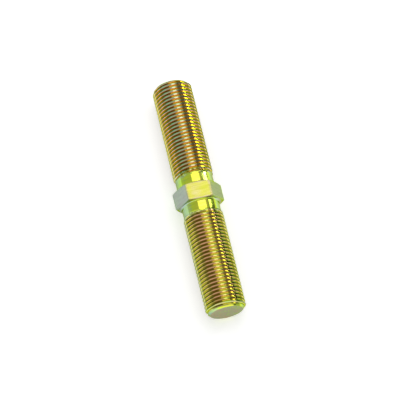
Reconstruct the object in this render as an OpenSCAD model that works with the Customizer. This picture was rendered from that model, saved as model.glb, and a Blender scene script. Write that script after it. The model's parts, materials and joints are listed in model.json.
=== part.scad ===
// Toe adjustment bolt: one piece of steel turned from hexagon bar. A hexagon collar
// for a spanner sits in the middle, with a plain neck and a rolled thread on each side.
// One thread is right-hand and the other left-hand, so turning the collar draws both
// neighbours in or pushes both out. Each thread is drawn as its major cylinder.
//
// Millimetres. The bolt lies along X, at rest on one flat of its collar, with the
// origin on that flat under the middle of the collar. The left-hand thread is at +X.

/* [Threads] */
// Major diameter of both threads
thread_d = 16; // [10:0.5:16.5]
// Pitch of both threads, which sets the rolling blank and the run-out
thread_pitch = 1.5; // [0.75:0.25:2]
// Length of each thread, from the end of the bolt to the end of the run-out
thread_l = 41.6; // [20:0.2:80]
// Size of the 45 degree chamfer on each end
end_chamfer = 1.5; // [0.5:0.1:2.5]

/* [Necks] */
// Length of the plain neck between each thread and the collar
neck_l = 3.8; // [2:0.2:15]
// Radius of the fillet between each neck and the collar
neck_fillet = 0.7; // [0.2:0.1:0.9]

/* [Collar] */
// Width of the collar across its flats
hex_af = 17; // [17:0.5:27]
// Width of the collar along the bolt
hex_w = 7.2; // [4:0.2:20]
// Slope of the turned chamfers on the collar, from its end faces
hex_chamfer_angle = 15; // [10:1:35]

/* [Hidden] */
$fn = 96;

// A rolled thread starts from a blank of about its pitch diameter, and the necks keep that size
pitch_diameter_drop = 0.6495;
thread_r = thread_d / 2;
neck_r = (thread_d - pitch_diameter_drop * thread_pitch) / 2;
end_face_r = thread_r - end_chamfer;

// Stations along one half of the bolt, measured from the middle of the collar
collar_end = hex_w / 2;
neck_end = collar_end + neck_l;
runout_end = neck_end + thread_pitch;
bolt_end = neck_end + thread_l;
chamfer_start = bolt_end - end_chamfer;

// The chamfer of the collar starts from the circle that touches the flats
flat_r = hex_af / 2;
corner_r = flat_r / cos(30);

// The turned outline of the collar runs past the corners of the bar
turned_r = corner_r + 1;
turned_drop = (turned_r - flat_r) * tan(hex_chamfer_angle);

// The fillet stays on the end face of the collar
fillet_r = min(neck_fillet, flat_r - neck_r);

plated_steel = [0.78, 0.72, 0.28];

// Half outline of one end: neck, thread run-out, thread and end chamfer
module end_outline() {
  polygon([
    [0, 0],
    [neck_r, 0],
    [neck_r, neck_end],
    [thread_r, runout_end],
    [thread_r, chamfer_start],
    [end_face_r, bolt_end],
    [0, bolt_end]
  ]);
}

// Corner of metal left between the neck and the end face of the collar
module fillet_outline() {
  translate([neck_r, collar_end])
    difference() {
      square(fillet_r);
      translate([fillet_r, fillet_r]) circle(fillet_r);
    }
}

// Half outline of the collar as it is turned, with its chamfer
module collar_outline() {
  polygon([
    [0, 0],
    [turned_r, 0],
    [turned_r, collar_end - turned_drop],
    [flat_r, collar_end],
    [0, collar_end]
  ]);
}

// Everything that the lathe leaves, as a solid of revolution about Z
module turned_form() {
  rotate_extrude()
    for (side = [0, 1])
      mirror([0, side]) {
        end_outline();
        fillet_outline();
        collar_outline();
      }
}

// The hexagon bar that the bolt is turned from
module hex_bar() {
  rotate([0, 0, 30])
    cylinder(r = corner_r, h = 2 * bolt_end, center = true, $fn = 6);
}

module toe_bolt() {
  color(plated_steel)
    translate([0, 0, flat_r])
      rotate([0, 90, 0])
        intersection() {
          turned_form();
          hex_bar();
        }
}

toe_bolt();
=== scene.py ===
# %% [markdown]
# Toe adjustment bolt: one steel stud with a hexagon collar in the middle, a left-hand
# thread on one end and a right-hand thread on the other, plated in yellow zinc chromate.
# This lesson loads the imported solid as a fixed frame, and then builds the finished bolt
# over it: Geometry Nodes wrap the two threads, mesh code turns the collar and the necks,
# and one procedural material gives the plating its shifting colours.

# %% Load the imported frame
import json
import math

import bmesh
import bpy
import numpy as np
from mathutils import Euler, Matrix, Vector


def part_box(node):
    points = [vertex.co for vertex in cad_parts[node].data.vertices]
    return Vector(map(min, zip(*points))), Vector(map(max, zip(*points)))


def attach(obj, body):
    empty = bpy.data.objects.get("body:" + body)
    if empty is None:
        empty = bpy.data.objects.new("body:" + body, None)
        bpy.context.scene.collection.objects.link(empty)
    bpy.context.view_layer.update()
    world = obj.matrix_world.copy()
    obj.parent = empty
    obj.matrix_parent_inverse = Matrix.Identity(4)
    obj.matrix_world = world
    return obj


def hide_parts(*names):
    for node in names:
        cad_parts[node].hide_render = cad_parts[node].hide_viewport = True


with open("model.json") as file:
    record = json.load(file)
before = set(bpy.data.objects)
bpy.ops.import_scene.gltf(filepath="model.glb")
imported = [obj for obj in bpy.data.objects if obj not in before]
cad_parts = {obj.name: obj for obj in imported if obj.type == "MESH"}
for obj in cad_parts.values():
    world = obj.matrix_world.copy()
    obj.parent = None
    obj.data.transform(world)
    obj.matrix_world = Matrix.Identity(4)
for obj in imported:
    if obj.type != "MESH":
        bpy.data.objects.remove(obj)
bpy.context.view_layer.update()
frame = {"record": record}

scene = bpy.context.scene
scene.view_settings.view_transform = "Standard"

# %% [markdown]
# Sizes first. The frame already knows the length of the bolt, the width of its collar
# across the flats and the radius and place of each thread, so those are read from it and
# never typed again. What it doesn't say, such as the pitch of the thread or the width of
# the collar along the bolt, is named here in metres.

# %% Sizes of the bolt
MM = 0.001
low_corner, high_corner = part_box("toe_bolt")
half_length = high_corner[0]
flat_radius = (high_corner[2] - low_corner[2]) / 2
axis_height = low_corner[2] + flat_radius

thread_mount = next(m for m in frame["record"]["mounts"] if m["name"] == "left_hand_thread")
thread_radius = thread_mount["dims"]["r_mm"] * MM
thread_wall = thread_mount["dims"]["length_mm"] * MM
chamfer_start = thread_mount["pos_m"][0] + thread_wall / 2
end_chamfer = half_length - chamfer_start
end_radius = thread_radius - end_chamfer

PITCH = 1.5 * MM
COLLAR_HALF_WIDTH = 3.6 * MM
NECK_LENGTH = 3.8 * MM
NECK_FILLET = 0.7 * MM
COLLAR_CHAMFER_ANGLE = math.radians(15)

# In pitches, the depth of the basic metric profile, and how far its blank is under size.
PROFILE_DEPTH = 0.5413
BLANK_UNDERSIZE = 0.6495
minor_radius = thread_radius - PROFILE_DEPTH * PITCH
neck_radius = thread_radius - BLANK_UNDERSIZE * PITCH / 2
neck_end = COLLAR_HALF_WIDTH + NECK_LENGTH
print(f"length {2 * half_length / MM:.1f} mm, across flats {2 * flat_radius / MM:.1f} mm")
print(f"thread radius {thread_radius / MM:.2f} mm, at its root {minor_radius / MM:.2f} mm")
print(f"neck radius {neck_radius / MM:.2f} mm")

# %% [markdown]
# The camera stands where the photograph was taken from: high above the bolt and a little
# to one side of its near end. A wide lens close by could frame the bolt as well, but the near
# end would swell. A long lens from most of a metre away keeps the two ends almost equally
# wide. The angles were found by fitting the collar's corners and the bolt's two ends to
# their pixels in the picture, which is 400 pixels square.

# %% Camera at the photograph's angle
PICTURE_SIDE = 400
FOCAL_PIXELS = 2200
# In millimetres, as a camera's lens is too.
SENSOR_WIDTH = 36
CAMERA_AZIMUTH = math.radians(74.6)
CAMERA_ELEVATION = math.radians(67.82)
CAMERA_ROLL = math.radians(2.63)
CAMERA_DISTANCE = 0.8667
BOLT_CENTRE_PIXEL = (198.35, 197.66)


def camera_axes(azimuth, elevation, roll):
    """Right, up and back directions of a camera that looks at the bolt's centre."""
    back = Vector((
        math.sin(azimuth) * math.cos(elevation),
        -math.cos(azimuth) * math.cos(elevation),
        math.sin(elevation),
    ))
    level_right = Vector((math.cos(azimuth), math.sin(azimuth), 0))
    level_up = back.cross(level_right)
    right = math.cos(roll) * level_right + math.sin(roll) * level_up
    up = math.cos(roll) * level_up - math.sin(roll) * level_right
    return right, up, back


right, up, back = camera_axes(CAMERA_AZIMUTH, CAMERA_ELEVATION, CAMERA_ROLL)
bolt_centre = Vector((0, 0, axis_height))
metres_per_pixel = CAMERA_DISTANCE / FOCAL_PIXELS
pan_right = (PICTURE_SIDE / 2 - BOLT_CENTRE_PIXEL[0]) * metres_per_pixel
pan_up = (BOLT_CENTRE_PIXEL[1] - PICTURE_SIDE / 2) * metres_per_pixel

lens = bpy.data.cameras.new("photo_camera")
lens.sensor_width = SENSOR_WIDTH
lens.lens = SENSOR_WIDTH * FOCAL_PIXELS / PICTURE_SIDE
camera = bpy.data.objects.new("photo_camera", lens)
turn = Matrix((right, up, back)).transposed().to_4x4()
camera.matrix_world = Matrix.Translation(
    bolt_centre + right * pan_right + up * pan_up + back * CAMERA_DISTANCE
) @ turn
scene.collection.objects.link(camera)
scene.camera = camera
print(f"camera {CAMERA_DISTANCE:.3f} m away, {lens.lens:.0f} mm lens")

# %% [markdown]
# Materials and node trees need the same few moves over and over: add a node, and feed its
# inputs either a number or another node's output. Small helpers do that, for the shader
# trees and for Geometry Nodes alike. The plating gets its name here, because every mesh
# of the bolt takes it, and its colours further down.

# %% Helpers for node trees
plating = bpy.data.materials.new("yellow_chromate")
plating.use_nodes = True


def node(tree, kind, values=None, **settings):
    """Adds a node with its settings, and gives each listed input a number or a link."""
    made = tree.nodes.new(kind)
    for name, setting in settings.items():
        setattr(made, name, setting)
    for key, value in (values or {}).items():
        if isinstance(value, bpy.types.NodeSocket):
            tree.links.new(value, made.inputs[key])
        else:
            made.inputs[key].default_value = value
    return made


def calc(tree, operation, *terms):
    """A Math node's result."""
    return node(tree, "ShaderNodeMath", dict(enumerate(terms)), operation=operation).outputs[0]


def ramp(tree, value, start, stop, low=0.0, high=1.0, curve="LINEAR"):
    """A Map Range node's result, held between low and high."""
    inputs = {0: value, 1: start, 2: stop, 3: low, 4: high}
    return node(tree, "ShaderNodeMapRange", inputs, interpolation_type=curve).outputs[0]


def mix_colour(tree, factor, first, second, blend="MIX"):
    """A colour between two others."""
    inputs = {0: factor, 6: first, 7: second}
    return node(tree, "ShaderNodeMix", inputs, data_type="RGBA", blend_type=blend).outputs[2]


print(f"{plating.name} starts with {len(plating.node_tree.nodes)} nodes")

# %% [markdown]
# The thread. On the real bolt two flat dies roll it: they press a spiral groove into a
# plain blank, and the metal swells up into the crest. It could be cut from a cylinder with
# a Boolean, or spun with a Screw modifier, but both leave ragged ends. Here a flat grid is
# wrapped round the axis instead. Each row of the grid follows the spiral, so crests and
# roots are clean lines of vertices. Rows that would run past either end are held at that
# end, where they fall on one another and merge into a plain ring.

# %% Flat grid and profile of the thread
# One side of a crest, as (pitches from its middle, height from root to crest). The flanks
# stand 28 degrees from square to the axis.
PROFILE = ((0.05, 1.0), (0.075, 0.96), (0.337, 0.05), (0.367, 0.0))
ROWS_PER_PITCH = 2 * len(PROFILE)
COLUMNS = 144
COLUMN_CROWDING = 0.8
FLATS = 6


def flat_grid(tree, size):
    """A grid with the pitches counted along it, and the angle that runs once round the bolt."""
    rows = calc(tree, "MULTIPLY_ADD", size["Turns"], ROWS_PER_PITCH, 1)
    grid = node(tree, "GeometryNodeMeshGrid", {
        "Size X": size["Turns"], "Size Y": 1, "Vertices X": rows, "Vertices Y": COLUMNS + 1,
    })
    position = node(tree, "GeometryNodeInputPosition").outputs[0]
    place = node(tree, "ShaderNodeSeparateXYZ", {0: position}).outputs

    # The grid lies round its middle, so half its size is added to count from its edge.
    pitches = calc(tree, "MULTIPLY_ADD", size["Turns"], 0.5, place["X"])
    even_angle = calc(tree, "MULTIPLY", calc(tree, "ADD", place["Y"], 0.5), math.tau)

    # Columns crowd together at the corners of the collar, which shares them.
    crowd = calc(tree, "SINE", calc(tree, "MULTIPLY", even_angle, FLATS))
    angle = calc(tree, "MULTIPLY_ADD", crowd, COLUMN_CROWDING / FLATS, even_angle)
    return grid.outputs["Mesh"], pitches, angle


def profile_rows(tree, pitches):
    """Rows moved to the edges of crest and root, which leaves the flanks plain, and their heights."""
    turn = calc(tree, "ADD", pitches, 0.5 / ROWS_PER_PITCH)
    crest_number = calc(tree, "ROUND", turn)
    side = calc(tree, "SUBTRACT", turn, crest_number)
    step = calc(tree, "ABSOLUTE", side)
    off_crest, height = PROFILE[0]
    for index, (near, far) in enumerate(zip(PROFILE, PROFILE[1:])):
        row = (index + 0.5) / ROWS_PER_PITCH
        share = ramp(tree, step, row, row + 1 / ROWS_PER_PITCH)
        off_crest = calc(tree, "MULTIPLY_ADD", share, far[0] - near[0], off_crest)
        height = calc(tree, "MULTIPLY_ADD", share, far[1] - near[1], height)
    moved = calc(tree, "MULTIPLY_ADD", calc(tree, "SIGN", side), off_crest, crest_number)
    return moved, height


print(f"{ROWS_PER_PITCH} rows to a pitch, {COLUMNS} columns round the bolt")

# %% [markdown]
# Where a thread ends. Beside the neck the dies leave the last turn shallow and ragged, so
# noise decides how deep they have bitten there. At the end of the bolt the lathe's chamfer
# takes the tops off the first turns. Booleans could cut both from a finished thread. It is
# simpler to change only the radius there, so that the rows stay on their spiral.

# %% Spiral, run-out and end chamfer
# Pitches by which the rows start before the end of the neck, so that none begins inside
# the thread.
LEAD_IN = 1.5
RAGGED_NOISE = {"Scale": 800, "Detail": 4, "Roughness": 0.7}
RAGGED_PITCHES = 3.0
# Pitches into the thread between which the dies bite to their full depth, and between
# which the plain seam with the neck gives way.
BITE = (0.1, 1.3)
NECK_SEAM = (0.02, 0.3)
SOFT_EDGE = 0.12 * MM


def climb_spiral(tree, size, pitches, angle):
    """Place along the bolt: a row climbs one pitch per turn, held between the neck and the end."""
    climb = calc(tree, "SUBTRACT", calc(tree, "DIVIDE", angle, math.tau), LEAD_IN)
    climbed = calc(tree, "ADD", pitches, climb)
    along = calc(tree, "MULTIPLY_ADD", climbed, size["Pitch"], size["Start"])
    return calc(tree, "MINIMUM", calc(tree, "MAXIMUM", along, size["Start"]), size["End"])


def run_out(tree, size, along, sine, cosine):
    """How deep the dies have bitten, from 0 beside the neck to 1 on the full thread."""
    spot = node(tree, "ShaderNodeCombineXYZ", {
        "X": calc(tree, "ADD", along, size["Phase"]),
        "Y": calc(tree, "MULTIPLY", sine, size["Major Radius"]),
        "Z": calc(tree, "MULTIPLY", cosine, size["Major Radius"]),
    })
    noise = node(tree, "ShaderNodeTexNoise", {"Vector": spot.outputs[0], **RAGGED_NOISE})
    into = calc(tree, "DIVIDE", calc(tree, "SUBTRACT", along, size["Start"]), size["Pitch"])
    swing = calc(tree, "SUBTRACT", noise.outputs[0], 0.5)
    ragged = calc(tree, "MULTIPLY_ADD", swing, RAGGED_PITCHES, into)
    bitten = ramp(tree, ragged, *BITE, curve="SMOOTHSTEP")
    return calc(tree, "MULTIPLY", bitten, ramp(tree, into, *NECK_SEAM))


def rolled_radius(tree, size, along, height, rolled):
    """Distance from the axis, once rolled and with the end chamfer turned."""
    full = ramp(tree, height, 0, 1, size["Root Radius"], size["Major Radius"])
    radius = ramp(tree, rolled, 0, 1, size["Neck Radius"], full)
    cone = calc(tree, "ADD", size["End Radius"], calc(tree, "SUBTRACT", size["End"], along))
    return calc(tree, "SMOOTH_MIN", radius, cone, SOFT_EDGE)


print(f"the dies bite fully {BITE[1] * PITCH / MM:.2f} mm into the thread")

# %% Geometry Nodes tree that wraps the grid into a thread
RING_MERGE = 2e-6
THREAD_INPUTS = {
    "Side": "Float",
    "Pitch": "Float",
    "Major Radius": "Float",
    "Root Radius": "Float",
    "Neck Radius": "Float",
    "End Radius": "Float",
    "Start": "Float",
    "End": "Float",
    "Axis Height": "Float",
    "Phase": "Float",
    "Turns": "Int",
    "Finish": "Material",
}


def thread_tree():
    """The whole tree, which also stores two attributes that the plating reads."""
    tree = bpy.data.node_groups.new("rolled_thread", "GeometryNodeTree")
    for name, kind in THREAD_INPUTS.items():
        tree.interface.new_socket(name, in_out="INPUT", socket_type="NodeSocket" + kind)
    tree.interface.new_socket("Thread", in_out="OUTPUT", socket_type="NodeSocketGeometry")
    size = node(tree, "NodeGroupInput").outputs

    marked, pitches, angle = flat_grid(tree, size)
    pitches, height = profile_rows(tree, pitches)
    along = climb_spiral(tree, size, pitches, angle)
    sine = calc(tree, "SINE", angle)
    cosine = calc(tree, "COSINE", angle)
    rolled = run_out(tree, size, along, sine, cosine)
    radius = rolled_radius(tree, size, along, height, rolled)
    wrapped = node(tree, "ShaderNodeCombineXYZ", {
        "X": calc(tree, "MULTIPLY", along, size["Side"]),
        "Y": calc(tree, "MULTIPLY", sine, radius),
        "Z": calc(tree, "MULTIPLY_ADD", cosine, radius, size["Axis Height"]),
    })

    for name, value in (("profile_height", height), ("rolled", rolled)):
        marked = node(tree, "GeometryNodeStoreNamedAttribute", {
            "Geometry": marked, "Name": name, "Value": value,
        }, data_type="FLOAT").outputs[0]
    moved = node(tree, "GeometryNodeSetPosition", {
        "Geometry": marked, "Position": wrapped.outputs[0],
    })
    merged = node(tree, "GeometryNodeMergeByDistance", {
        "Geometry": moved.outputs[0], "Distance": RING_MERGE,
    })
    real = node(tree, "GeometryNodeRealizeInstances", {"Geometry": merged.outputs[0]})
    painted = node(tree, "GeometryNodeSetMaterial", {
        "Geometry": real.outputs[0], "Material": size["Finish"],
    })
    node(tree, "NodeGroupOutput", {"Thread": painted.outputs[0]})
    return tree


rolled_thread = thread_tree()
print(f"thread tree: {len(rolled_thread.nodes)} nodes, {len(rolled_thread.links)} links")

# %% [markdown]
# The same tree makes both threads. Its Side input mirrors the left-hand thread to the
# other end, and a spiral seen in a mirror is right-handed, which is just what a bolt that
# pulls both its neighbours in together needs. Its Phase input moves the noise, so that the
# two run-outs differ. The edge of each end face is broken later, so the thread stops a hair
# short of it.

# %% Make the two threads
EDGE_BREAK = 0.12 * MM
SPARE_TURNS = 2
LEFT_HAND_PHASE = 0.0
RIGHT_HAND_PHASE = 0.31
thread_stop = half_length - EDGE_BREAK
turns = math.ceil((thread_stop - neck_end) / PITCH + SPARE_TURNS)


def make_thread(name, side, phase):
    """One thread as a plain mesh, with the tree's modifier gone."""
    mesh = bpy.data.meshes.new(name)
    maker = bpy.data.objects.new(name, mesh)
    scene.collection.objects.link(maker)
    modifier = maker.modifiers.new("Rolled thread", "NODES")
    modifier.node_group = rolled_thread
    inputs = {
        "Side": float(side),
        "Pitch": PITCH,
        "Major Radius": thread_radius,
        "Root Radius": minor_radius,
        "Neck Radius": neck_radius,
        "End Radius": end_radius + EDGE_BREAK,
        "Start": neck_end,
        "End": thread_stop,
        "Axis Height": axis_height,
        "Phase": phase,
        "Turns": turns,
        "Finish": plating,
    }
    for item in rolled_thread.interface.items_tree:
        if item.in_out == "INPUT":
            modifier[item.identifier] = inputs[item.name]
    evaluated = maker.evaluated_get(bpy.context.evaluated_depsgraph_get())
    result = bpy.data.meshes.new_from_object(evaluated)
    maker.modifiers.remove(modifier)
    bpy.data.objects.remove(maker)
    print(f"{name}: {len(result.vertices)} points, {len(result.polygons)} faces")
    return result


left_hand = make_thread("left_hand_thread", 1, LEFT_HAND_PHASE)
right_hand = make_thread("right_hand_thread", -1, RIGHT_HAND_PHASE)

# %% [markdown]
# The collar and its necks. The bar came to the lathe as a hexagon, and the lathe turned
# the necks, the little fillets and the sloping chamfer that bites only the corners. A
# Boolean could cut a cone from a prism, but the crescents it leaves are hard to round. It
# is easier to describe one half outline for each direction round the axis, from the neck
# out over the fillet, shoulder and chamfer to the flat, and to skin those outlines.

# %% Reach of the hexagon in each direction
CORNER_ROUNDING = 0.35 * MM


def column_angles():
    """Directions round the axis, from +Z towards +Y, the same as in the thread tree."""
    even = np.arange(COLUMNS) * math.tau / COLUMNS
    return even + COLUMN_CROWDING / FLATS * np.sin(FLATS * even)


def hexagon_radius(angles):
    """Distance from the axis to a hexagon with rounded corners and a flat at the top."""
    step = math.tau / FLATS
    off_flat = np.abs((angles + step / 2) % step - step / 2)
    straight = flat_radius / np.cos(off_flat)
    off_corner = step / 2 - off_flat
    centre = (flat_radius - CORNER_ROUNDING) / math.cos(step / 2)
    reach = np.clip(CORNER_ROUNDING**2 - (centre * np.sin(off_corner)) ** 2, 0, None)
    rounded = centre * np.cos(off_corner) + np.sqrt(reach)
    tangent = math.atan2(
        CORNER_ROUNDING * math.sin(step / 2), centre + CORNER_ROUNDING * math.cos(step / 2)
    )
    return np.where(off_corner < tangent, rounded, straight)


angles = column_angles()
hex_radius = hexagon_radius(angles)
print(f"across corners {2 * hex_radius.max() / MM:.2f} mm")
print(f"across flats {2 * hex_radius.min() / MM:.2f} mm")

# %% Outline of the collar in each direction
COLLAR_EDGE_BREAK = 0.22 * MM
CHAMFER_EDGE_BREAK = 0.9 * COLLAR_EDGE_BREAK
NECK_POINTS = 6
FILLET_POINTS = 7
EDGE_POINTS = 6
FLAT_POINTS = 5


def arc(centre, radius, start, stop, count):
    """Points of an arc, as (along, radius) pairs."""
    sweep = np.linspace(start, stop, count)
    return [(centre[0] + radius * math.cos(s), centre[1] + radius * math.sin(s)) for s in sweep]


def softened(before, corner, after, count):
    """Points that round a corner off between two points beside it."""
    steps = np.linspace(0, 1, count)[:, None]
    return (1 - steps) ** 2 * before + 2 * steps * (1 - steps) * corner + steps**2 * after


def collar_outline(outer):
    """(along, radius) from the thread to the middle of the collar, for one direction."""
    fillet_end = COLLAR_HALF_WIDTH + NECK_FILLET
    neck = [(along, neck_radius) for along in np.linspace(neck_end, fillet_end, NECK_POINTS)]
    fillet_centre = (fillet_end, neck_radius + NECK_FILLET)
    fillet = arc(fillet_centre, NECK_FILLET, -math.pi / 2, -math.pi, FILLET_POINTS)[1:]
    chamfer_fall = math.tan(COLLAR_CHAMFER_ANGLE)
    shoulder = np.array((COLLAR_HALF_WIDTH, flat_radius - COLLAR_EDGE_BREAK))
    corner = np.array((COLLAR_HALF_WIDTH - (outer - flat_radius) * chamfer_fall, outer))
    inwards = shoulder - corner
    inwards = inwards / np.linalg.norm(inwards)
    before = corner + inwards * CHAMFER_EDGE_BREAK
    after = corner - np.array((COLLAR_EDGE_BREAK, 0))
    edge = softened(before, corner, after, EDGE_POINTS)
    flat = [(along, outer) for along in np.linspace(after[0], 0, FLAT_POINTS)[1:]]
    return np.array([*neck, *fillet, tuple(shoulder), *map(tuple, edge), *flat])


half_outlines = [collar_outline(outer) for outer in hex_radius]
collar_outlines = [
    np.concatenate([half, half[-2::-1] * (-1, 1)]) for half in half_outlines
]
print(f"{len(collar_outlines)} outlines of {len(collar_outlines[0])} points each")

# %% Skin the collar and necks


def skin(rows):
    """Faces between neighbouring rows of points that each go once round the axis."""
    faces = []
    for row in range(rows - 1):
        for column in range(COLUMNS):
            beside = (column + 1) % COLUMNS
            faces.append((
                row * COLUMNS + column,
                row * COLUMNS + beside,
                (row + 1) * COLUMNS + beside,
                (row + 1) * COLUMNS + column,
            ))
    return faces


def lathe_mesh(name, outlines):
    """A mesh from one (along, radius) outline for each direction round the axis."""
    rows = len(outlines[0])
    points = []
    for row in range(rows):
        for column, angle in enumerate(angles):
            along, radius = outlines[column][row]
            points.append((
                along,
                radius * math.sin(angle),
                axis_height + radius * math.cos(angle),
            ))
    mesh = bpy.data.meshes.new(name)
    mesh.from_pydata(points, [], skin(rows))
    mesh.materials.append(plating)
    print(f"{name}: {len(mesh.vertices)} points, {len(mesh.polygons)} faces")
    return mesh


collar = lathe_mesh("collar", collar_outlines)

# %% [markdown]
# The end faces are plain sawn and faced discs. A filled circle would do for the disc, but
# it has no edge to catch the light. So each is a set of rings that starts on the thread's
# last ring, turns over a small broken edge, and closes in the middle.

# %% End faces
END_EDGE_POINTS = 4
FACE_RINGS = 8


def end_outline(side):
    """(along, radius) from the thread's last ring to the middle of an end face."""
    rim = np.array((half_length - EDGE_BREAK, end_radius + EDGE_BREAK))
    corner = np.array((half_length, end_radius))
    inner = np.array((half_length, end_radius - EDGE_BREAK))
    edge = softened(rim, corner, inner, END_EDGE_POINTS)
    face = [(half_length, r) for r in np.linspace(inner[1], 0, FACE_RINGS + 1)[1:]]
    return np.array([*map(tuple, edge), *face]) * (side, 1)


near_face = lathe_mesh("left_hand_end", [end_outline(1)] * COLUMNS)
far_face = lathe_mesh("right_hand_end", [end_outline(-1)] * COLUMNS)

# %% [markdown]
# All five meshes share the same directions round the axis, so their rings meet point for
# point. Joined, with the doubles merged and the normals turned outwards, they are one
# closed skin, as the real bolt is one piece of steel. The cell counts open edges and works
# out the weight, which is a good test that nothing is inside out.

# %% Join everything into one closed bolt
MERGE_DISTANCE = 3e-6
SHORTEST_EDGE = MERGE_DISTANCE / 10
STEEL_DENSITY = 7850
WIDE_FACE_POWER = 3


def wide_face_normals(whole):
    """A normal for each point that follows its widest faces, so only narrow faces look round."""
    normals = []
    for point in whole.verts:
        total = Vector()
        for face in point.link_faces:
            total += face.normal * (face.calc_area() / MM**2) ** WIDE_FACE_POWER
        normals.append(total.normalized())
    return normals


def join_bolt(name, meshes):
    """One closed mesh from several, with outward normals."""
    whole = bmesh.new()
    for mesh in meshes:
        whole.from_mesh(mesh)
    bmesh.ops.remove_doubles(whole, verts=whole.verts, dist=MERGE_DISTANCE)
    bmesh.ops.dissolve_degenerate(whole, edges=whole.edges, dist=SHORTEST_EDGE)
    bmesh.ops.recalc_face_normals(whole, faces=whole.faces)
    for face in whole.faces:
        face.smooth = True
        face.material_index = 0
    open_edges = sum(1 for edge in whole.edges if len(edge.link_faces) != 2)
    weight = whole.calc_volume(signed=True) * STEEL_DENSITY
    normals = wide_face_normals(whole)
    joined = bpy.data.meshes.new(name)
    whole.to_mesh(joined)
    whole.free()
    joined.normals_split_custom_set_from_vertices(normals)
    joined.materials.append(plating)
    triangles = sum(len(p.vertices) - 2 for p in joined.polygons)
    print(f"{name}: {triangles} triangles, {open_edges} open edges, {weight * 1000:.0f} g")
    return joined


bolt_mesh = join_bolt("plated_bolt", (left_hand, right_hand, collar, near_face, far_face))
bolt = bpy.data.objects.new("plated_bolt", bolt_mesh)
scene.collection.objects.link(bolt)
for mesh in (left_hand, right_hand, collar, near_face, far_face):
    bpy.data.meshes.remove(mesh)

# %% [markdown]
# The plating. Yellow chromate is a film thinner than a wavelength over bright zinc, so it
# shows the colours of a soap bubble: salmon, mauve, teal, green and straw yellow, one after
# the other as the film grows thicker. One flat yellow would look like paint, and a picture
# of the colours would only fit this one bolt. So the material first works out where on the
# bolt each point lies, and how thick the film is there, and then looks the colour up on
# scales. All of it is read from Object coordinates, slow noise and two attributes that the
# thread tree stored.

# %% Helpers for the plating
film = plating.node_tree
shader = film.nodes["Principled BSDF"]
shader.inputs["Metallic"].default_value = 1.0
coordinates = node(film, "ShaderNodeTexCoord").outputs["Object"]
CLOUD_ROUGHNESS = 0.55
CLOUD_RANGE = (0.25, 0.75)


def attribute(name):
    """A number that the mesh keeps at each of its points."""
    return node(film, "ShaderNodeAttribute", attribute_name=name).outputs["Fac"]


def product(*values):
    """Several values, multiplied."""
    total = values[0]
    for value in values[1:]:
        total = calc(film, "MULTIPLY", total, value)
    return total


def fade(share, first, second):
    """A number that goes from the first to the second as the share goes from 0 to 1."""
    return ramp(film, share, 0, 1, first, second)


def colour_scale(value, stops, interpolation="LINEAR"):
    """A Color Ramp node with one stop for each (place, colour)."""
    made = node(film, "ShaderNodeValToRGB", {0: value})
    made.color_ramp.interpolation = interpolation
    scale = made.color_ramp.elements
    while len(scale) < len(stops):
        scale.new(1.0)
    for element, (place, colour) in zip(scale, stops):
        element.position = place
        element.color = (*colour, 1)
    return made.outputs[0]


def clouds(size, detail=2.0, stretch=(1, 1, 1)):
    """Noise from about -1 to 1, with lumps of the given size, longer where stretch is more."""
    scale = tuple(1 / (size * s) for s in stretch)
    squeezed = node(film, "ShaderNodeMapping", {"Vector": coordinates, "Scale": scale}).outputs[0]
    lumps = node(film, "ShaderNodeTexNoise", {
        "Vector": squeezed, "Scale": 1, "Detail": detail, "Roughness": CLOUD_ROUGHNESS,
    }).outputs[0]
    return ramp(film, lumps, *CLOUD_RANGE, -1.0, 1.0)


print(f"{bolt_mesh.name} keeps", [kept.name for kept in bolt_mesh.attributes])

# %% Places on the bolt, as the plating sees them
# How far under the flats and inside the end faces each of them begins and is full, and how
# far under the end chamfers the thread does.
FLAT_MARGIN = (0.20 * MM, 0.02 * MM)
END_MARGIN = (0.06 * MM, 0.01 * MM)
CHAMFER_MARGIN = (0.05 * MM, 0.12 * MM)
PATCH_SIZE = 7 * MM
GRAIN_SIZE = 0.45 * MM
GRAIN_STRETCH = (1, 14, 14)
FINE_DETAIL = 3.0

spot = node(film, "ShaderNodeSeparateXYZ", {0: coordinates}).outputs
off_axis = calc(film, "SUBTRACT", spot["Z"], axis_height)
radius_squared = calc(film, "ADD", product(spot["Y"], spot["Y"]), product(off_axis, off_axis))
radius = calc(film, "SQRT", radius_squared)
turn_angle = calc(film, "ARCTAN2", spot["Y"], off_axis)
turn_share = calc(film, "MULTIPLY_ADD", turn_angle, 1 / math.tau, 0.5)
from_middle = calc(film, "ABSOLUTE", spot["X"])
left_hand_end = calc(film, "GREATER_THAN", spot["X"], 0)
right_hand_end = calc(film, "LESS_THAN", spot["X"], 0)
across = calc(film, "DIVIDE", spot["Y"], thread_radius)
sideways = calc(film, "ABSOLUTE", across)
profile_height = attribute("profile_height")
rolled = attribute("rolled")

on_flat = ramp(film, radius, *(flat_radius - margin for margin in FLAT_MARGIN))
on_end = ramp(film, from_middle, *(half_length - margin for margin in END_MARGIN))
cone_reach = calc(film, "ADD", from_middle, radius)
under_cone = calc(film, "SUBTRACT", end_radius + half_length, cone_reach)
threaded = product(rolled, ramp(film, under_cone, *CHAMFER_MARGIN))
patches = clouds(PATCH_SIZE)
grain = clouds(GRAIN_SIZE, FINE_DETAIL, GRAIN_STRETCH)
print(f"plating so far: {len(film.nodes)} nodes")
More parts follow.
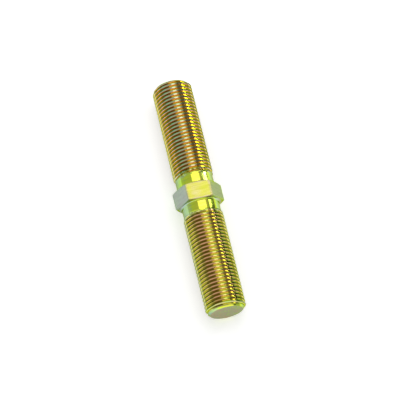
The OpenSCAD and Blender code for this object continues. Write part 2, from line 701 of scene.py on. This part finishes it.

# %% [markdown]
# The two ends hung differently in the bath: the right-hand thread came out rusty orange
# with teal flanks, the left-hand thread olive with salmon flanks. On the shoulders the upper
# flanks are darkened as painted shade, and at the sides the colour turns yellow-green and is
# made lighter as painted light. One scale for all would lose that. So each end has three, for
# its top and underside, its shoulders and its sides, and each runs from the root, over the
# flank, to the crest. The patches push it up and down the flank, but leave crest and root alone.

# %% Colours of the threads
# Root, foot of the flank, top of the flank and crest: one row each for the top, the
# shoulders and the sides. The shoulder rows' dark upper flanks are painted shade, and the
# side rows are made lighter as painted light.
RIGHT_HAND_FILM_AND_PAINTED_LIGHT = (
    ((0.50, 0.20, 0.01), (0.76, 0.63, 0.51), (0.52, 0.68, 0.50), (0.30, 0.27, 0.01)),
    ((0.64, 0.38, 0.01), (0.95, 0.76, 0.68), (0.12, 0.14, 0.10), (0.52, 0.45, 0.01)),
    ((0.72, 0.66, 0.09), (0.94, 0.74, 0.28), (0.44, 0.47, 0.16), (0.54, 0.58, 0.09)),
)
LEFT_HAND_FILM_AND_PAINTED_LIGHT = (
    ((0.44, 0.32, 0.03), (0.88, 0.62, 0.48), (0.74, 0.59, 0.38), (0.38, 0.37, 0.02)),
    ((0.60, 0.60, 0.09), (0.95, 0.76, 0.54), (0.11, 0.16, 0.05), (0.22, 0.28, 0.03)),
    ((0.86, 0.90, 0.34), (0.95, 0.90, 0.54), (0.37, 0.44, 0.26), (0.47, 0.57, 0.24)),
)
# Heights on the profile where those four lie, in the same rows.
FILM_HEIGHTS = (
    (0.03, 0.08, 0.93, 0.98),
    (0.05, 0.45, 0.78, 0.95),
    (0.05, 0.50, 0.80, 0.95),
)
# How far out, in shares of the thread's radius, the shoulders and the sides begin and are full.
SHOULDERS = (0.48, 0.60)
SIDES = (0.88, 0.94)
# Where along the bolt the right-hand film gives way to the left-hand one.
FILM_CHANGE = (-20 * MM, 15 * MM)
PATCHES_ON_FLANK = 0.8


def thread_film(colour_rows):
    """Colour of one thread: a scale for each part of the way round, mixed by how far out it is; the
    shoulder scale holds painted shade and the side scale painted light.
    """
    top, shoulder, side = (
        colour_scale(shifted, list(zip(heights, colours)))
        for heights, colours in zip(FILM_HEIGHTS, colour_rows)
    )
    inner = mix_colour(film, ramp(film, sideways, *SHOULDERS), top, shoulder)
    return mix_colour(film, ramp(film, sideways, *SIDES), inner, side)


off_edges = product(profile_height, calc(film, "SUBTRACT", 1, profile_height))
shift = product(off_edges, patches, PATCHES_ON_FLANK)
shifted = calc(film, "ADD", shift, profile_height)
left_hand_share = ramp(film, spot["X"], *FILM_CHANGE)
thread_colour = mix_colour(
    film, left_hand_share, thread_film(RIGHT_HAND_FILM_AND_PAINTED_LIGHT), thread_film(LEFT_HAND_FILM_AND_PAINTED_LIGHT)
)
print(f"thread colours: {len(RIGHT_HAND_FILM_AND_PAINTED_LIGHT)} and {len(LEFT_HAND_FILM_AND_PAINTED_LIGHT)} scales")

# %% [markdown]
# Tints over the threads. Some are the film's own colours: towards -Y the right-hand
# thread's flanks are teal, along the top its roots are rusty and the left-hand thread's
# flanks are straw yellow, the very edge towards +Y is yellower, and the left-hand thread's
# last turn is greener all round. Others are painted shade: towards -Y crests and roots are
# dark, a dark band runs beside the straw flanks, and towards +Y crests and roots are darker
# again, where the right-hand thread's are also greener. Tints could be painted on an image,
# but an image fits one size of bolt. Here each is a tint that multiplies the colour inside soft
# limits.

# %% Helpers for the tints


def strip(begins, ends):
    """A strip along the bolt, from its two edges across the bolt, each as (none, full)."""
    return product(ramp(film, across, *begins), ramp(film, across, *ends))


def on_profile(heights):
    """A part of the thread's profile, from its edge as (none, full)."""
    return ramp(film, profile_height, *heights)


def with_tints(colour, runs):
    """A colour after each tint. Each is its tint, and the shares that limit it."""
    for tint, *limits in runs:
        colour = mix_colour(film, product(*limits), colour, (*tint, 1), "MULTIPLY")
    return colour


CREST_OR_ROOT = (0.08, 0.02)
CREST = (0.55, 0.80)
crest_or_root = ramp(film, off_edges, *CREST_OR_ROOT)
crest = on_profile(CREST)
print(f"runs on crests start {CREST[0] * PROFILE_DEPTH * PITCH / MM:.2f} mm above the roots")

# %% Tints and painted shade on the threads
# Strips across the bolt, from -1 on one side to 1 on the other, and heights on the profile.
# Towards -Y crests and roots are darkened as painted shade, the crests there further.
MINUS_Y_STRIP = ((-0.08, -0.30), (-0.90, -0.70))
MINUS_Y_CREST_STRIP = ((-0.70, -0.84), (-0.96, -0.91))
TEAL_STRIP = ((-0.30, -0.52), (-0.84, -0.72))
TEAL_HEIGHTS = (0.40, 0.60)
RUST_STRIP = ((-0.10, 0.02), (0.38, 0.30))
RUST_HEIGHTS = (0.10, 0.02)
STRAW_STRIP = ((-0.12, -0.02), (0.28, 0.16))
STRAW_HEIGHTS = (0.10, 0.40)
# A band of painted shade on the left-hand flanks towards +Y, beside the straw yellow.
PLUS_Y_FLANK_STRIP = ((0.42, 0.50), (0.73, 0.66))
PLUS_Y_FLANK_HEIGHTS = (0.35, 0.55)
# Towards +Y the left-hand crests and roots, and the right-hand crests, are darkened as painted shade;
# the right-hand crests and roots also turn greener and a little darker.
PLUS_Y_STRIP = ((0.30, 0.60), (0.94, 0.88))
PLUS_Y_CREST_EDGE = (0.52, 0.64)
YELLOW_EDGE = (0.70, 0.92)
# How far from the end the last turn begins to be greener, and is fully so.
GREEN_TURN = (3.2 * MM, 2.0 * MM)

# What each tint lets through. The -Y tints, the +Y flank band and the +Y crest and root tints darken
# as painted shade.
MINUS_Y_SHADE_TINT = (0.47, 0.40, 0.30)
MINUS_Y_CREST_SHADE_TINT = (0.45, 0.54, 0.50)
TEAL_TINT = (0.76, 1.22, 1.22)
RUST_TINT = (0.80, 0.74, 0.50)
STRAW_TINT = (0.84, 1.12, 0.78)
PLUS_Y_FLANK_SHADE_TINT = (0.32, 0.40, 0.40)
RIGHT_HAND_PLUS_Y_TINT = (0.75, 1.0, 0.85)
LEFT_HAND_PLUS_Y_SHADE_TINT = (0.48, 0.60, 0.60)
PLUS_Y_CREST_SHADE_TINT = (0.48, 0.55, 0.55)
YELLOW_TINT = (1.0, 0.97, 0.55)
GREEN_TINT = (0.78, 0.95, 0.55)

last_turn = ramp(film, spot["X"], *(half_length - reach for reach in GREEN_TURN))
# Painted shade: the -Y tints, the +Y flank band and the +Y tints on crests and roots. Teal, rust,
# straw, the yellow edge and the green last turn are the film's own colours.
thread_tints = (
    (MINUS_Y_SHADE_TINT, strip(*MINUS_Y_STRIP), crest_or_root),
    (MINUS_Y_CREST_SHADE_TINT, strip(*MINUS_Y_CREST_STRIP), crest),
    (TEAL_TINT, strip(*TEAL_STRIP), on_profile(TEAL_HEIGHTS), right_hand_end),
    (RUST_TINT, strip(*RUST_STRIP), on_profile(RUST_HEIGHTS), right_hand_end),
    (STRAW_TINT, strip(*STRAW_STRIP), on_profile(STRAW_HEIGHTS), left_hand_end),
    (PLUS_Y_FLANK_SHADE_TINT, strip(*PLUS_Y_FLANK_STRIP), on_profile(PLUS_Y_FLANK_HEIGHTS), left_hand_end),
    (RIGHT_HAND_PLUS_Y_TINT, strip(*PLUS_Y_STRIP), crest_or_root, right_hand_end),
    (LEFT_HAND_PLUS_Y_SHADE_TINT, strip(*PLUS_Y_STRIP), crest_or_root, left_hand_end),
    (PLUS_Y_CREST_SHADE_TINT, ramp(film, across, *PLUS_Y_CREST_EDGE), crest, right_hand_end),
    (YELLOW_TINT, ramp(film, across, *YELLOW_EDGE)),
    (GREEN_TINT, last_turn),
)
thread_colour = with_tints(thread_colour, thread_tints)
print(f"{len(thread_tints)} runs on the threads")

# %% [markdown]
# The turned and drawn surfaces share one longer scale, from a thin film to a thick one. The
# necks are yellow-green. In the fillets and down both sides their film is thinner, and so it
# is greener. Each flat of the collar has a film of its own, thicker round its rim. The grey of
# the upper flat towards -Y is partly the film's colour and partly painted sheen, the colour the
# film shows at a slant. The end faces are mottled and speckled. A colour for each surface would
# look painted on, so these cells only work out how thick the film is.

# %% Film on the necks
NECK_FILM = 0.84
FILLET_FILM = 0.60
# Heights above the neck between which its film becomes the fillet's.
FILLET_RISE = (0.05 * MM, 0.40 * MM)
# Where across the bolt the necks' film begins to thin and stops, and how much it loses.
LAST_SIDE_LOSS = (-0.05, -0.55, 0.0, 0.18)
FIRST_SIDE_LOSS = (0.62, 0.74, 0.0, 0.22)
BOTH_SIDES_LOSS = (0.65, 0.95, 0.0, 0.08)

thickness = ramp(
    film, radius, *(neck_radius + rise for rise in FILLET_RISE), NECK_FILM, FILLET_FILM
)
for place, loss in (
    (across, LAST_SIDE_LOSS),
    (across, FIRST_SIDE_LOSS),
    (sideways, BOTH_SIDES_LOSS),
):
    thickness = calc(film, "SUBTRACT", thickness, ramp(film, place, *loss))
print(f"film from {FILLET_FILM} in the fillets to {NECK_FILM} on the necks")

# %% Film on the flats
# Going round the axis from the flat underneath, through -Y, the top and +Y. The grey film of the
# upper flat towards -Y is partly painted sheen, the film's colour seen at a slant.
FLAT_FILMS_AND_SHEEN = (0.90, 0.62, 0.43, 0.91, 0.54, 0.70)
# Where the rim of a flat begins and is full, along the bolt and in flats from its middle.
RIM_ALONG = (COLLAR_HALF_WIDTH - 0.7 * MM, COLLAR_HALF_WIDTH - 0.1 * MM)
RIM_ROUND = (0.41, 0.49)
RIM_FILM = 0.10

# Each flat's film starts half a flat before its middle, and the first one closes the round.
flat_stops = [
    (max(0, (index - 0.5) / FLATS), (value, value, value))
    for index, value in enumerate(FLAT_FILMS_AND_SHEEN + FLAT_FILMS_AND_SHEEN[:1])
]
flat_film = colour_scale(turn_share, flat_stops, "CONSTANT")
off_flat = calc(film, "PINGPONG", calc(film, "MULTIPLY", turn_share, FLATS), 0.5)
rim_along = ramp(film, from_middle, *RIM_ALONG)
rim = calc(film, "MAXIMUM", rim_along, ramp(film, off_flat, *RIM_ROUND))
flat_film = calc(film, "MULTIPLY_ADD", rim, RIM_FILM, flat_film)
thickness = fade(on_flat, thickness, flat_film)
print(f"film on {len(FLAT_FILMS_AND_SHEEN)} flats from {min(FLAT_FILMS_AND_SHEEN)} to {max(FLAT_FILMS_AND_SHEEN)}")

# %% Film on the end faces, and its patches everywhere
END_FILM = 0.42
END_SLOPE = 0.10
MOTTLE_SIZE = 1.6 * MM
MOTTLE_DETAIL = 4.0
MOTTLE_FILM = 0.24
SPECKLE_SIZE = 0.5 * MM
SPECKLE_FILM = 0.26
PATCH_FILM = 0.08
GRAIN_FILM = 0.05

mottle = clouds(MOTTLE_SIZE, MOTTLE_DETAIL)
speckle = clouds(SPECKLE_SIZE, FINE_DETAIL)
end_film = calc(film, "MULTIPLY_ADD", across, END_SLOPE, END_FILM)
end_film = calc(film, "MULTIPLY_ADD", mottle, MOTTLE_FILM, end_film)
end_film = calc(film, "MULTIPLY_ADD", speckle, SPECKLE_FILM, end_film)
thickness = fade(on_end, thickness, end_film)
thickness = calc(film, "MULTIPLY_ADD", patches, PATCH_FILM, thickness)
thickness = calc(film, "MULTIPLY_ADD", grain, GRAIN_FILM, thickness)
print(f"film on the end faces about {END_FILM}, plating so far: {len(film.nodes)} nodes")

# %% [markdown]
# Now the film's thickness becomes a colour. The drawn flats and the faced ends are duller
# than the turned necks, and their grain and speckle show in the brightness too. Low on both
# sides of the bolt the colour is greener, and darker as painted shade. On each neck a band where
# the strip lamps' reflection falls is tinted: darker on the left-hand neck, as painted shade over
# the reflection, and cooler, with more blue and less red, on the right-hand neck, as a painted
# reflection. The chamfer of the right-hand end is the dullest of all. Tints like those on the threads
# do it.

# %% Colour and brightness of the necks, collar and ends
FILM_SCALE = (
    (0.00, (0.62, 0.36, 0.10)), (0.15, (0.78, 0.54, 0.38)), (0.30, (0.64, 0.56, 0.50)),
    (0.42, (0.56, 0.60, 0.50)), (0.55, (0.56, 0.67, 0.45)), (0.70, (0.62, 0.83, 0.06)),
    (0.84, (0.71, 0.73, 0.07)), (0.92, (0.72, 0.69, 0.13)), (1.00, (0.78, 0.68, 0.36)),
)
FLAT_BRIGHTNESS = 0.76
END_BRIGHTNESS = 0.71
TEXTURE_BRIGHTNESS = (0.88, 1.12)

texture = fade(on_end, grain, speckle)
brightness = fade(on_end, fade(on_flat, 1.0, FLAT_BRIGHTNESS), END_BRIGHTNESS)
brightness = product(brightness, ramp(film, texture, -1, 1, *TEXTURE_BRIGHTNESS))
bare_colour = node(film, "ShaderNodeVectorMath", {
    0: colour_scale(thickness, FILM_SCALE), "Scale": brightness,
}, operation="SCALE").outputs[0]
print(f"film scale: {len(FILM_SCALE)} stops")

# %% Tints and painted shade on the necks, collar and chamfer
# Edges of the tints across the bolt, the height above the neck at which the reflection bands
# stop, and how far from the end the dull chamfer reaches, each from none to full.
MINUS_Y_SIDE = (-0.50, -0.75)
PLUS_Y_SIDE = (0.62, 0.80)
NECK_REFLECTION_STRIP = ((0.28, 0.36), (0.68, 0.60))
NECK_REFLECTION_RISE = (0.3 * MM, 0.1 * MM)
DULL_CHAMFER = (end_chamfer + 0.5 * MM, end_chamfer)
# What the tints let through there: the side tints are painted shade, the left-hand neck band
# is painted shade over the lamps' reflection, and the right-hand one a painted reflection tint.
# On the flats they count half, and on the end faces not.
MINUS_Y_SIDE_SHADE_TINT = (0.65, 0.78, 0.95)
PLUS_Y_SIDE_SHADE_TINT = (0.85, 0.93, 0.80)
RIGHT_HAND_REFLECTION_TINT = (0.75, 1.0, 1.6)
LEFT_HAND_REFLECTION_SHADE_TINT = (0.42, 0.52, 0.60)
DULL_CHAMFER_TINT = (0.45, 0.45, 0.40)
TINTS_ON_FLATS = 0.5

tint_share = product(fade(on_flat, 1.0, TINTS_ON_FLATS), fade(on_end, 1.0, 0.0))
# The band on each neck where the strip lamps' reflection falls: painted shade over it on the
# left-hand neck, a painted reflection tint on the right-hand one.
on_neck = ramp(film, radius, *(neck_radius + rise for rise in NECK_REFLECTION_RISE))
neck_reflection_band = product(strip(*NECK_REFLECTION_STRIP), on_neck, tint_share)
dull_chamfer = ramp(film, spot["X"], *(reach - half_length for reach in DULL_CHAMFER))
# The two side tints darken as painted shade.
bare_tints = (
    (MINUS_Y_SIDE_SHADE_TINT, ramp(film, across, *MINUS_Y_SIDE), tint_share),
    (PLUS_Y_SIDE_SHADE_TINT, ramp(film, across, *PLUS_Y_SIDE), tint_share),
    (RIGHT_HAND_REFLECTION_TINT, neck_reflection_band, right_hand_end),
    (LEFT_HAND_REFLECTION_SHADE_TINT, neck_reflection_band, left_hand_end),
    (DULL_CHAMFER_TINT, dull_chamfer, tint_share),
)
bare_colour = with_tints(bare_colour, bare_tints)
colour = mix_colour(film, threaded, bare_colour, thread_colour)
film.links.new(colour, shader.inputs["Base Color"])
print(f"{len(bare_tints)} runs on the rest of the bolt")

# %% [markdown]
# The surface under the film. Rolling left the threads plain. The lathe left rings on the
# end faces, but only the faintest on the necks, and the flats of the bar have fine lines
# across them. They are far too shallow to model, so one height map holds all three, and a
# Bump node turns it into shading.

# %% Marks of the tools
RINGS_PER_METRE = 3500
FACING_RINGS_PER_METRE = 2500
RING_DEPTH = 0.02
GRAIN_DEPTH = 0.5
PLAIN_HEIGHT = 0.5
BUMP_STRENGTH = 0.15
BUMP_DISTANCE = 0.02 * MM


def rings(place, per_metre):
    """Noise that changes along one measure only, and so lies in rings."""
    count = calc(film, "MULTIPLY", place, per_metre)
    values = {"W": count, "Scale": 1}
    return node(film, "ShaderNodeTexNoise", values, noise_dimensions="1D").outputs[0]


neck_marks = product(rings(spot["X"], RINGS_PER_METRE), RING_DEPTH)
marks = fade(on_flat, neck_marks, product(grain, GRAIN_DEPTH))
marks = fade(on_end, marks, rings(radius, FACING_RINGS_PER_METRE))
marks = fade(rolled, marks, PLAIN_HEIGHT)
bump = node(film, "ShaderNodeBump", {
    "Strength": BUMP_STRENGTH, "Distance": BUMP_DISTANCE, "Height": marks,
})
film.links.new(bump.outputs[0], shader.inputs["Normal"])
print(f"marks at most {BUMP_DISTANCE / MM:.2f} mm deep")

# %% [markdown]
# Roughness sets how sharp the reflections are. The turned necks are almost mirrors, and the
# rolled flanks nearly so. The drawn flats are duller, and their rims and the faced ends are
# satin. One number for all would hide which tool made which surface. The film also tints
# reflections at a slant. That tint is the same all over, so the shader's own socket has it.

# %% Roughness of each surface
TURNED_ROUGHNESS = 0.10
FLANK_ROUGHNESS = 0.13
FLAT_ROUGHNESS = 0.26
RIM_ROUGHNESS = 0.42
END_ROUGHNESS = 0.40
PATCH_ROUGHNESS = 0.02
SLANT_TINT = (0.60, 0.60, 0.24, 1)

on_flank = product(threaded, calc(film, "SUBTRACT", 1, crest_or_root))
roughness = fade(on_flank, TURNED_ROUGHNESS, FLANK_ROUGHNESS)
roughness = fade(on_flat, roughness, FLAT_ROUGHNESS)
roughness = fade(product(on_flat, rim), roughness, RIM_ROUGHNESS)
roughness = fade(on_end, roughness, END_ROUGHNESS)
roughness = calc(film, "MULTIPLY_ADD", patches, PATCH_ROUGHNESS, roughness)
film.links.new(roughness, shader.inputs["Roughness"])
shader.inputs["Specular Tint"].default_value = SLANT_TINT
print(f"plating: {len(film.nodes)} nodes")

# %% [markdown]
# The light. The necks of the bolt are small curved mirrors, and the bands on them tell how
# the real one was lit: a wide soft panel overhead, a smaller one behind it, two bright
# strips low on the right, a dim room with a bright front, and a white table under
# everything. One big lamp would light the bolt too, but it would leave the necks without
# bands. So four area lights hang where the bands say.

# %% Lights
# Name, place, point that it faces, width, length, radiance, and lean in degrees.
PANELS = (
    ("overhead_panel", (-0.20, 0.115, 0.70), (-0.20, 0.115, 0), 0.42, 0.63, 1.15, 0),
    ("back_panel", (-0.725, 0.15, 0.70), (-0.725, 0.15, 0), 0.26, 0.30, 1.6, 0),
    ("near_strip", (-0.280, 0.70, 0.465), (-0.280, 0, 0.465), 0.11, 0.25, 6.0, -10),
    ("far_strip", (-0.662, 1.40, 0.44), (-0.662, 0, 0.44), 0.12, 0.42, 15.0, -7),
)


def area_light(name, place, aim, width, length, radiance, lean):
    """A soft panel at a place, turned to a point, as bright as radiance wherever it is seen."""
    data = bpy.data.lights.new(name, "AREA")
    data.shape = "RECTANGLE"
    data.size = width
    data.size_y = length
    data.energy = radiance * math.pi * width * length
    lamp = bpy.data.objects.new(name, data)
    lamp.location = place
    facing = (Vector(aim) - Vector(place)).to_track_quat("-Z", "Y")
    leaning = Euler((0, 0, math.radians(lean))).to_quaternion()
    lamp.rotation_euler = (facing @ leaning).to_euler()
    lamp.visible_camera = False
    scene.collection.objects.link(lamp)


for panel in PANELS:
    area_light(*panel)

# %% [markdown]
# The room. A picture of a real room would bring bands of its own to the necks, so a few
# ramps over the direction give each wall its level instead. To the camera alone the room
# is white, as the paper behind a product is. The bolt's reflections keep the room's own
# levels, because a white room would wash out the dark between the bands.

# %% Room
# For each wall, the directions between which one level turns into another, and both levels.
LEFT_WALL = (0.0, 0.35, 0.7, 0.5)
RIGHT_WALL_BELOW = (0.05, 0.12, 0.55, 0.15)
RIGHT_WALL_ABOVE = (0.25, 0.50, 0.0, 0.35)
BACK_WALL = (0.38, 0.48, 0.75, 0.15)
# The directions between which one wall turns into another.
LEFT_TO_RIGHT = (-0.1, 0.1)
SIDES_TO_BACK = (-0.42, -0.50)
SIDES_TO_FRONT = (0.78, 0.84)
FRONT_LEVEL = 1.25
WHITE = (1, 1, 1, 1)

world = bpy.data.worlds.new("room")
world.use_nodes = True
scene.world = world
room = world.node_tree
outlook = node(room, "ShaderNodeTexCoord").outputs["Generated"]
heading = node(room, "ShaderNodeSeparateXYZ", {0: outlook}).outputs
left_level = ramp(room, heading["Z"], *LEFT_WALL)
right_below = ramp(room, heading["Z"], *RIGHT_WALL_BELOW)
right_level = calc(room, "ADD", right_below, ramp(room, heading["Z"], *RIGHT_WALL_ABOVE))
back_level = ramp(room, heading["Y"], *BACK_WALL)
level = ramp(room, heading["Y"], *LEFT_TO_RIGHT, left_level, right_level)
level = ramp(room, heading["X"], *SIDES_TO_BACK, level, back_level)
level = ramp(room, heading["X"], *SIDES_TO_FRONT, level, FRONT_LEVEL)
level = calc(room, "MAXIMUM", level, node(room, "ShaderNodeLightPath").outputs["Is Camera Ray"])
room.links.new(level, room.nodes["Background"].inputs["Strength"])
room.nodes["Background"].inputs["Color"].default_value = WHITE
print(f"room: {len(room.nodes)} nodes")

# %% [markdown]
# The table is white paper. Brighter lamps would make it white too, but they would also
# bleach the bolt. So the paper glows a little wherever the camera, a reflection or a clear
# piece sees it, and still takes the bolt's shadow from the lamps.

# %% White table that keeps the shadow
TABLE_HALF_SIDE = 2.0
PAPER = (0.9, 0.9, 0.9, 1)
PAPER_ROUGHNESS = 0.9
PAPER_GLOW = 0.45

table_mesh = bpy.data.meshes.new("table")
table_corners = [
    (x * TABLE_HALF_SIDE, y * TABLE_HALF_SIDE, 0) for x, y in ((-1, -1), (1, -1), (1, 1), (-1, 1))
]
table_mesh.from_pydata(table_corners, [], [(0, 1, 2, 3)])
table = bpy.data.objects.new("table", table_mesh)
scene.collection.objects.link(table)

table_finish = bpy.data.materials.new("white_table")
table_finish.use_nodes = True
table_mesh.materials.append(table_finish)
table_tree = table_finish.node_tree
matt = table_tree.nodes["Principled BSDF"]
matt.inputs["Base Color"].default_value = PAPER
matt.inputs["Roughness"].default_value = PAPER_ROUGHNESS
matt.inputs["Emission Color"].default_value = WHITE
path = node(table_tree, "ShaderNodeLightPath").outputs
seen = calc(table_tree, "MAXIMUM", path["Is Camera Ray"], path["Is Glossy Ray"])
seen = calc(table_tree, "MAXIMUM", seen, path["Is Transmission Ray"])
glow = calc(table_tree, "MULTIPLY", seen, PAPER_GLOW)
table_tree.links.new(glow, matt.inputs["Emission Strength"])
print(f"table {2 * TABLE_HALF_SIDE:.0f} m wide")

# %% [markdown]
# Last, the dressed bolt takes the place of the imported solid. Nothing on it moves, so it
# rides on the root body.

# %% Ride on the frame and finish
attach(bolt, "root")
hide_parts("toe_bolt")
print(f"{bolt.name} stands for toe_bolt, with {len(bolt_mesh.polygons)} faces")
